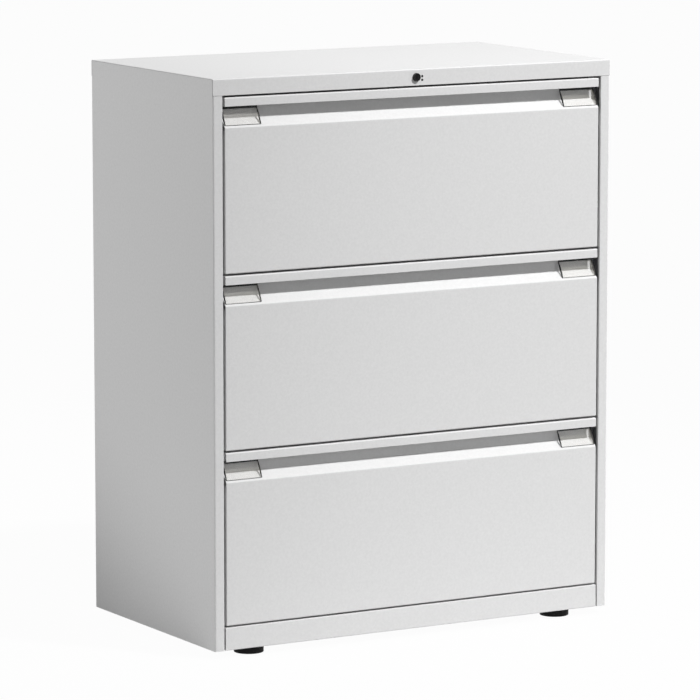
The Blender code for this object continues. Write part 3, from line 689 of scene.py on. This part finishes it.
for hole_x, hole_z, radius in holes:
    drill = turned([(radius, -CUT_DEPTH), (radius, CUT_DEPTH)], "Y", (hole_x, front_y, hole_z))
    lid_mesh = combined(lid_mesh, drill, "DIFFERENCE")
fitted("lid_sheet", lid_mesh, CARCASS_COAT, "top_panel")
added("rail_dots", joined(dot_parts), "carcass")


# Lock
# A round die-cast lock: a sleeve that stands out through the top rail, with a collar behind it,
# and a plug with a keyway set a little back in the sleeve. Both are black nickel.
SLEEVE_NICKEL = (0.035, 0.035, 0.034)
PLUG_NICKEL = (0.02, 0.02, 0.02)
SLEEVE_STAND_OUT = 0.004
SLEEVE_RIM = 0.0009
SLEEVE_LIP_RADIUS = 0.0003
PLUG_RECESS = 0.0015
PLUG_RADIUS = 0.0050
PLUG_CLEARANCE = 0.0001
PLUG_EASE = 0.0005
KEYWAY_WIDTH = 0.0016
KEYWAY_HEIGHT = 0.006
KEYWAY_DEPTH = 0.006
COLLAR_GAP = 0.0003
COLLAR_THICKNESS = 0.002


def nickel_plate(name, colour):
    """Satin nickel with a faint cloud in its polish."""
    material, tree, shader, place = new_material(name, roughness=0.4, metallic=1.0)
    cloud = shader_node(tree, "ShaderNodeTexNoise", Scale=600.0, Detail=3.0)
    rough = shader_node(tree, "ShaderNodeMapRange", **{"To Min": 0.3, "To Max": 0.5})
    tree.links.new(place, cloud.inputs["Vector"])
    tinted = mottled(tree, cloud.outputs["Fac"], colour, spread=0.05)
    tree.links.new(tinted, shader.inputs["Base Color"])
    tree.links.new(cloud.outputs["Fac"], rough.inputs["Value"])
    tree.links.new(rough.outputs["Result"], shader.inputs["Roughness"])
    return material


SLEEVE_PLATE = nickel_plate("sleeve_nickel", SLEEVE_NICKEL)
PLUG_PLATE = nickel_plate("plug_nickel", PLUG_NICKEL)
lock_centre = (0, front_y, lock_z)
collar_radius = (housing_high.x - housing_low.x) / 2
collar_front = SHEET + COLLAR_GAP
collar_rear = collar_front + COLLAR_THICKNESS
housing_length = housing_high.y - front_y
bore = PLUG_RADIUS + PLUG_CLEARANCE
plug_front = PLUG_RECESS - SLEEVE_STAND_OUT
sleeve_lip = [
    (bore, housing_length),
    (bore, plug_front),
    (LOCK_RADIUS - SLEEVE_RIM, -SLEEVE_STAND_OUT),
    (LOCK_RADIUS, -SLEEVE_STAND_OUT),
    (LOCK_RADIUS, collar_front),
]
sleeve_profile = bent(sleeve_lip, (SLEEVE_LIP_RADIUS, SLEEVE_LIP_RADIUS, SLEEVE_LIP_RADIUS))
sleeve_profile += [
    Vector((collar_radius, collar_front)),
    Vector((collar_radius, collar_rear)),
    Vector((LOCK_RADIUS, collar_rear)),
    Vector((LOCK_RADIUS, housing_length)),
]
sleeve_mesh = turned(sleeve_profile, "Y", lock_centre, closed=True)
fitted("lock_sleeve", sleeve_mesh, SLEEVE_PLATE, "lock_housing")
plug_corners = [
    (PIN_CAP_RADIUS, plug_front),
    (PLUG_RADIUS, plug_front),
    (PLUG_RADIUS, housing_length),
]
plug_mesh = turned(bent(plug_corners, (PLUG_EASE,)), "Y", lock_centre)
key_low = (-KEYWAY_WIDTH / 2, lock_z - KEYWAY_HEIGHT / 2)
key_high = (KEYWAY_WIDTH / 2, lock_z + KEYWAY_HEIGHT / 2)
keyway = [key_low, (key_high[0], key_low[1]), key_high, (key_low[0], key_high[1])]
key_stations = (front_y - SLEEVE_STAND_OUT, front_y + plug_front + KEYWAY_DEPTH)
key_mesh = lofted([[placed("Y", along, point) for point in keyway] for along in key_stations])
plug_mesh = combined(plug_mesh, key_mesh, "DIFFERENCE")
fitted("lock_barrel", plug_mesh, PLUG_PLATE, "lock_plug")


# Lock cam, link, bar and guides
# The works of the lock, of zinc-plated strip: a cam on the plug, a link behind the top rail and a
# bar down the right stile. The link and the bar run in nylon guides.
NYLON_WHITE = (0.80, 0.80, 0.77)

NYLON = moulded_plastic("guide_nylon", NYLON_WHITE, roughness=0.5)
for part in ("lock_cam", "lock_link", "lock_bar"):
    fitted(f"{part}_strip", eased(part, CHANNEL_EASE), ZINC_PLATE, part)
for part in ("lock_link_guide", "lock_bar_guide_lower", "lock_bar_guide_upper"):
    fitted(f"{part}_block", eased(part, CHANNEL_EASE), NYLON, part)


# Drawer trays, file bars and moving slides
# Each tray is a welded box of coated steel between telescopic slides, slotted along its floor for
# dividers, with two flat plated bars hooked over its sides for hanging files.
TRAY_GREY = (0.70, 0.70, 0.70)
DIVIDER_SLOT = (0.003, 0.022)
DIVIDER_PITCH = 0.0254
DIVIDER_COUNT = 27
DIVIDER_INSET = 0.045

TRAY_COAT = powder_coat("tray_powder_coat", TRAY_GREY)
for level in LEVELS:
    tray = f"drawer_tray_{level}"
    tray_low, tray_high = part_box(tray)
    tray_mesh = eased(tray, EDGE_BREAK)
    for row_y in (tray_low.y + DIVIDER_INSET, tray_high.y - DIVIDER_INSET):
        tray_mesh = grown(tray_mesh, punched_row, {
            "Count": DIVIDER_COUNT,
            "First": (-DIVIDER_PITCH * (DIVIDER_COUNT - 1) / 2, row_y, tray_low.z),
            "Step": (DIVIDER_PITCH, 0.0, 0.0),
            "Turn": (0.0, 0.0, 0.0),
            "Coat": TRAY_COAT,
            "Width": DIVIDER_SLOT[0],
            "Length": DIVIDER_SLOT[1],
            "Depth": PUNCH_DEPTH,
        })
    fitted(f"tray_box_{level}", tray_mesh, TRAY_COAT, tray)
    for end in ENDS:
        bar = f"file_bar_{end}_{level}"
        fitted(f"hanging_bar_{end}_{level}", eased(bar, CHANNEL_EASE), ZINC_PLATE, bar)
    for hand in HANDS:
        for member in ("inner", "middle"):
            node = f"slide_{member}_{level}_{hand}"
            fitted(f"runner_{member}_{level}_{hand}", runner(node), ZINC_PLATE, node)


# Drawer fronts
# Each front is one coated sheet, folded along its top into a sloping shelf, a finger recess and a
# lip that hangs down over it. Its sides are turned back, and the recess is open at both ends.
FRONT_TOP_EASE = 0.0006
FRONT_SIDE_EASE = 0.0010
LIP_HEIGHT = 0.0154
RECESS_HEIGHT = 0.036
RECESS_DEPTH = 0.021
SLOPE_RISE = 0.0145
SLOPE_DEPTH = 0.0165
PULL_BEND_RADIUS = 0.004
LIP_BEND_RADIUS = 0.0015
FRONT_FOLD_RADIUS = 0.002
FLANGE_RELIEF = 0.006

front_low, front_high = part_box("drawer_front_lower")
front_half = front_high.x - FRONT_SIDE_EASE
front_height = front_high.z - front_low.z - FRONT_TOP_EASE
front_depth = front_high.y - front_low.y
face_top = front_height - LIP_HEIGHT - RECESS_HEIGHT
crease_z = face_top + SLOPE_RISE
wall_top = front_height - SHEET
lip_bottom = front_height - LIP_HEIGHT
front_corners = [
    (front_depth, 0),
    (0, 0),
    (0, face_top),
    (SLOPE_DEPTH, crease_z),
    (RECESS_DEPTH, wall_top),
    (SHEET, wall_top),
    (SHEET, lip_bottom),
]
front_radii = (FRONT_FOLD_RADIUS, PULL_BEND_RADIUS, PULL_BEND_RADIUS, LIP_BEND_RADIUS, LIP_BEND_RADIUS)
front_path = bent(front_corners, front_radii)[::-1]
front_mesh = folded(front_path, SHEET, "X", -front_half, front_half, SHEET_NOSE)
flange_path = [Vector((front_half, SHEET_NOSE)), Vector((front_half, front_depth))]
flange = folded(flange_path, SHEET, "Z", SHEET_NOSE, face_top - FLANGE_RELIEF)
for flange_mesh in (flange, mirrored(flange)):
    front_mesh = combined(front_mesh, flange_mesh, "UNION")
for level in LEVELS:
    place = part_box(f"drawer_front_{level}")[0]
    mesh = front_mesh.copy()
    mesh.transform(Matrix.Translation((0, place.y, place.z)))
    fitted(f"front_sheet_{level}", mesh, CARCASS_COAT, f"drawer_front_{level}")


# Label holders
# Each holder is a strip of clear, faintly warm plastic that sits between black pieces, which are painted
# shade:
# a bar under the lip for the lip's shadow, a thin line on the slope for the shadow at the strip's foot,
# and a bowed rim at either end for the dark hollow behind the strip.
HOLDER_WARM = (0.74, 0.71, 0.60)
HOLDER_CLEARNESS = 0.94
# Black of the painted shade pieces: the lip's shadow, the shadow line at the strip's foot and the dark
# hollows at its ends.
SHADE_BLACK = (0.03, 0.03, 0.03)
HOLDER_WIDTH = 0.070
HOLDER_THICKNESS = 0.0012
HOLDER_END_INSET = 0.0015
HOLDER_FOOT_RISE = 0.0035
HOLDER_BULGE = 0.0015
HOLDER_SEAT_GAP = 0.0004
HOLDER_STEPS = 12
BAR_TOP_DROP = 0.002
BAR_FOOT_DROP = 0.0058
BAR_THICKNESS = 0.0015
FOOT_BAR_HEIGHT = 0.00025
RIM_WIDTH = 0.0009
RIM_DEPTH = 0.003
SHADE_FIT = 0.0002

HOLDER_PLASTIC = moulded_plastic("holder_plastic", HOLDER_WARM, roughness=0.25)
holder_shader = HOLDER_PLASTIC.node_tree.nodes["Principled BSDF"]
holder_shader.inputs["Alpha"].default_value = 1 - HOLDER_CLEARNESS
# Material of the black pieces that paint that shade around the clear strip.
SHADE_PLASTIC = moulded_plastic("painted_shade_plastic", SHADE_BLACK, roughness=0.6, gloss=0.2)
wall_lean = (RECESS_DEPTH - SLOPE_DEPTH) / (wall_top - crease_z)


def at_wall(height, forward):
    """A point in front of the recess wall, at a height up the drawer front."""
    return Vector((SLOPE_DEPTH + wall_lean * (height - crease_z) - HOLDER_SEAT_GAP - forward, height))


bar_top_z = lip_bottom - BAR_TOP_DROP
bar_foot_z = lip_bottom - BAR_FOOT_DROP
strip_foot_z = face_top + HOLDER_FOOT_RISE
strip_top = at_wall(bar_foot_z - SHADE_FIT, 0)
strip_foot = Vector((SLOPE_DEPTH * HOLDER_FOOT_RISE / SLOPE_RISE - HOLDER_SEAT_GAP, strip_foot_z))
strip_along = (strip_foot - strip_top).normalized()
strip_out = Vector((strip_along.y, -strip_along.x))
strip_back = []
rim_back = []
for step in range(HOLDER_STEPS + 1):
    share = step / HOLDER_STEPS
    # The bow is 0 at both ends of the strip and 1 at its middle
    bow = 4 * share * (1 - share)
    chord = strip_top.lerp(strip_foot, share)
    strip_back.append(chord + strip_out * (HOLDER_BULGE * bow))
    rim_back.append(chord + strip_out * ((HOLDER_BULGE - RIM_DEPTH) * bow))
rim_outer = front_half - HOLDER_END_INSET
rim_inner = rim_outer - HOLDER_WIDTH
strip_outer = rim_outer - RIM_WIDTH - SHADE_FIT
strip_inner = rim_inner + RIM_WIDTH + SHADE_FIT
strip_mesh = folded(strip_back[::-1], HOLDER_THICKNESS, "X", strip_inner, strip_outer)
rim_outline = moved_left(strip_back, -HOLDER_THICKNESS) + rim_back[::-1]
# A black bar under the lip paints the lip's shadow across the top of the strip.
bar_outline = [
    at_wall(bar_top_z, 0),
    at_wall(bar_foot_z, 0),
    at_wall(bar_foot_z, BAR_THICKNESS),
    at_wall(bar_top_z, BAR_THICKNESS),
]
# A thin black line on the slope paints the contact shadow at the strip's foot.
foot_bar_top = strip_foot + strip_along * SHADE_FIT
foot_bar_foot = foot_bar_top + strip_along * FOOT_BAR_HEIGHT
foot_bar_outline = [
    foot_bar_top,
    foot_bar_foot,
    foot_bar_foot + strip_out * HOLDER_THICKNESS,
    foot_bar_top + strip_out * HOLDER_THICKNESS,
]
# The black pieces of painted shade; the two bowed rims paint the dark hollow between the strip and the
# recess.
shade_parts = (
    (bar_outline, rim_inner, rim_outer),
    (foot_bar_outline, rim_inner, rim_outer),
    (rim_outline, rim_inner, rim_inner + RIM_WIDTH),
    (rim_outline, rim_outer - RIM_WIDTH, rim_outer),
)
holder_parts = [(strip_mesh, HOLDER_PLASTIC)]
for outline, start, end in shade_parts:
    rings = [[placed("X", along, point) for point in outline] for along in (start, end)]
    holder_parts.append((lofted(rings), SHADE_PLASTIC))
holder_mesh = joined(holder_parts)
for level in LEVELS:
    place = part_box(f"drawer_front_{level}")[0]
    for hand, mesh in (("left", mirrored(holder_mesh)), ("right", holder_mesh.copy())):
        mesh.transform(Matrix.Translation((0, place.y, place.z)))
        holder = f"label_holder_{level}_{hand}"
        fitted(f"label_strip_{level}_{hand}", mesh, HOLDER_PLASTIC, holder)


# Camera
# It looks at the cabinet from the front left and a little above, with a long lens. Its place, turn
# and lens were fitted to the cabinet's edges in the photo.
CAMERA_PLACE = (-4.1004, -7.0525, 1.6888)
CAMERA_DIP = math.radians(8.428)
CAMERA_TURN = math.radians(-30.164)
SENSOR_MM = 36.0
LENS_MM = 237.34
FAR_CLIP = 200.0

camera_data = bpy.data.cameras.new("camera")
camera_data.sensor_width = SENSOR_MM
camera_data.lens = LENS_MM
camera_data.clip_end = FAR_CLIP
camera = bpy.data.objects.new("camera", camera_data)
camera.location = CAMERA_PLACE
camera.rotation_euler = (math.pi / 2 - CAMERA_DIP, 0, CAMERA_TURN)
bpy.context.scene.collection.objects.link(camera)
bpy.context.scene.camera = camera


# Floor
# A wide pale studio floor. The camera sees it nearly white, with a faint shadow of the cabinet, and
# so do metal and clear pieces. To all other light it is plain grey.
FLOOR_HALF = 60.0
FLOOR_GREY = (0.62, 0.62, 0.62, 1.0)
WHITE = (1.0, 1.0, 1.0, 1.0)
SHADOW_SHARE = 0.03


def ray_is_seen(tree):
    """1 where a ray comes from the camera, a mirror or a clear piece, and 0 for diffuse light."""
    path = tree.nodes.new("ShaderNodeLightPath")
    total = path.outputs["Is Camera Ray"]
    for name in ("Is Glossy Ray", "Is Transmission Ray"):
        most = tree.nodes.new("ShaderNodeMath")
        most.operation = "MAXIMUM"
        tree.links.new(total, most.inputs[0])
        tree.links.new(path.outputs[name], most.inputs[1])
        total = most.outputs["Value"]
    return total


floor_corners = [Vector((x, y, 0)) * FLOOR_HALF for x, y in ((-1, -1), (1, -1), (1, 1), (-1, 1))]
floor_mesh = bpy.data.meshes.new("floor")
floor_mesh.from_pydata(floor_corners, [], [(0, 1, 2, 3)])
floor = bpy.data.objects.new("floor", floor_mesh)
bpy.context.scene.collection.objects.link(floor)
floor_material = bpy.data.materials.new("floor")
floor_material.use_nodes = True
floor_tree = floor_material.node_tree
floor_tree.nodes.clear()
floor_paint = shader_node(floor_tree, "ShaderNodeBsdfDiffuse", Color=FLOOR_GREY)
floor_white = shader_node(floor_tree, "ShaderNodeEmission", Color=WHITE, Strength=1.0)
floor_share = scaled(floor_tree, ray_is_seen(floor_tree), 1 - SHADOW_SHARE)
floor_mix = floor_tree.nodes.new("ShaderNodeMixShader")
floor_tree.links.new(floor_share, floor_mix.inputs["Fac"])
floor_tree.links.new(floor_paint.outputs["BSDF"], floor_mix.inputs[1])
floor_tree.links.new(floor_white.outputs["Emission"], floor_mix.inputs[2])
floor_out = floor_tree.nodes.new("ShaderNodeOutputMaterial")
floor_tree.links.new(floor_mix.outputs["Shader"], floor_out.inputs["Surface"])
floor_mesh.materials.append(floor_material)


# Studio light
# The key is a soft-edged spot far off to the front right, centred right of the cabinet so that its
# front fades to the left. A weak spot lights the left side and fades towards the floor. Two small
# soft boxes and a dim light all round fill the rest.
WORLD_FILL = 0.22
SPOTS = {
    "key": {
        "target": (0.60, -0.20, 0.80),
        "way": (0.28, -0.57, 0.775),
        "distance": 9.0,
        "beam_radius": 1.9,
        "soft_edge": 1.0,
        "lamp_radius": 0.35,
        "power": 3870.0,
    },
    "side": {
        "target": (-0.40, -0.10, 0.90),
        "way": (-1.0, 0.30, 0.20),
        "distance": 5.0,
        "beam_radius": 1.0,
        "soft_edge": 0.5,
        "lamp_radius": 0.2,
        "power": 345.0,
    },
}
SOFT_BOX_SIZE = 0.9
SOFT_BOX_TARGET = (0, 0, 0.5)
SOFT_BOXES = {
    "soft_box_right": ((2.4, -2.2, 1.1), 5.3),
    "soft_box_left_rear": ((-2.4, 1.5, 1.9), 4.4),
}

world = bpy.data.worlds.new("studio")
bpy.context.scene.world = world
world.use_nodes = True
world_tree = world.node_tree
backdrop = world_tree.nodes["Background"]
backdrop.inputs["Color"].default_value = WHITE
world_level = shader_node(world_tree, "ShaderNodeMapRange", **{"To Min": WORLD_FILL, "To Max": 1.0})
world_tree.links.new(ray_is_seen(world_tree), world_level.inputs["Value"])
world_tree.links.new(world_level.outputs["Result"], backdrop.inputs["Strength"])


def aimed(light, place, target):
    """Puts a lamp at a place and points it at a target."""
    lamp = bpy.data.objects.new(light.name, light)
    lamp.location = place
    lamp.rotation_euler = (Vector(target) - Vector(place)).to_track_quat("-Z", "Y").to_euler()
    lamp.visible_camera = False
    bpy.context.scene.collection.objects.link(lamp)


for spot_name, spot in SPOTS.items():
    beam = bpy.data.lights.new(spot_name, "SPOT")
    beam.energy = spot["power"]
    beam.spot_size = 2 * math.atan(spot["beam_radius"] / spot["distance"])
    beam.spot_blend = spot["soft_edge"]
    beam.shadow_soft_size = spot["lamp_radius"]
    beam_place = Vector(spot["target"]) + Vector(spot["way"]).normalized() * spot["distance"]
    aimed(beam, beam_place, spot["target"])
for box_name, (box_place, power) in SOFT_BOXES.items():
    soft = bpy.data.lights.new(box_name, "AREA")
    soft.energy = power
    soft.size = SOFT_BOX_SIZE
    aimed(soft, box_place, SOFT_BOX_TARGET)

bpy.context.scene.view_settings.view_transform = "Standard"
